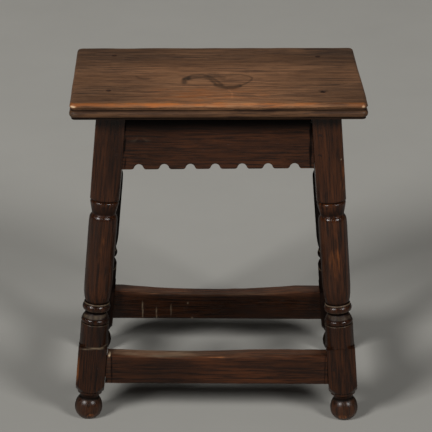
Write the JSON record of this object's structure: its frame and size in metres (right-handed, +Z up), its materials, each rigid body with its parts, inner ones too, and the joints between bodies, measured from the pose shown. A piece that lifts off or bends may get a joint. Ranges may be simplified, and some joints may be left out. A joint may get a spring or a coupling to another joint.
{
  "type": "joint stool",
  "caption": "Oak joint stool with a moulded plank seat, raked turned legs, scalloped aprons and low box stretchers, pegged together.",
  "frame": {"origin": "on the floor, in the middle between the four feet; the old seat board lies 2 mm off it", "axes": "+Z up, +X to the stool's right along the seat's length, front towards -Y"},
  "size_m": [0.4711, 0.296, 0.556],
  "materials": {
    "seat_oak": "old dark oak, waxed and worn",
    "frame_oak": "old dark oak, waxed",
    "peg_oak": "riven oak, waxed over"
  },
  "bodies": {
    "root": {"apron_back": "frame_oak", "apron_front": "frame_oak", "apron_left": "frame_oak", "apron_right": "frame_oak", "leg_back_left": "frame_oak", "leg_back_right": "frame_oak", "leg_front_left": "frame_oak", "leg_front_right": "frame_oak", "pegs_apron_back_left": "peg_oak", "pegs_apron_back_right": "peg_oak", "pegs_apron_front_left": "peg_oak", "pegs_apron_front_right": "peg_oak", "pegs_apron_left_back": "peg_oak", "pegs_apron_left_front": "peg_oak", "pegs_apron_right_back": "peg_oak", "pegs_apron_right_front": "peg_oak", "pegs_stretcher_back_left": "peg_oak", "pegs_stretcher_back_right": "peg_oak", "pegs_stretcher_front_left": "peg_oak", "pegs_stretcher_front_right": "peg_oak", "pegs_stretcher_left_back": "peg_oak", "pegs_stretcher_left_front": "peg_oak", "pegs_stretcher_right_back": "peg_oak", "pegs_stretcher_right_front": "peg_oak", "seat_board": "seat_oak", "seat_peg_back_left": "peg_oak", "seat_peg_back_right": "peg_oak", "seat_peg_front_left": "peg_oak", "seat_peg_front_right": "peg_oak", "stretcher_back": "frame_oak", "stretcher_front": "frame_oak", "stretcher_left": "frame_oak", "stretcher_right": "frame_oak"}
  },
  "joints": []
}
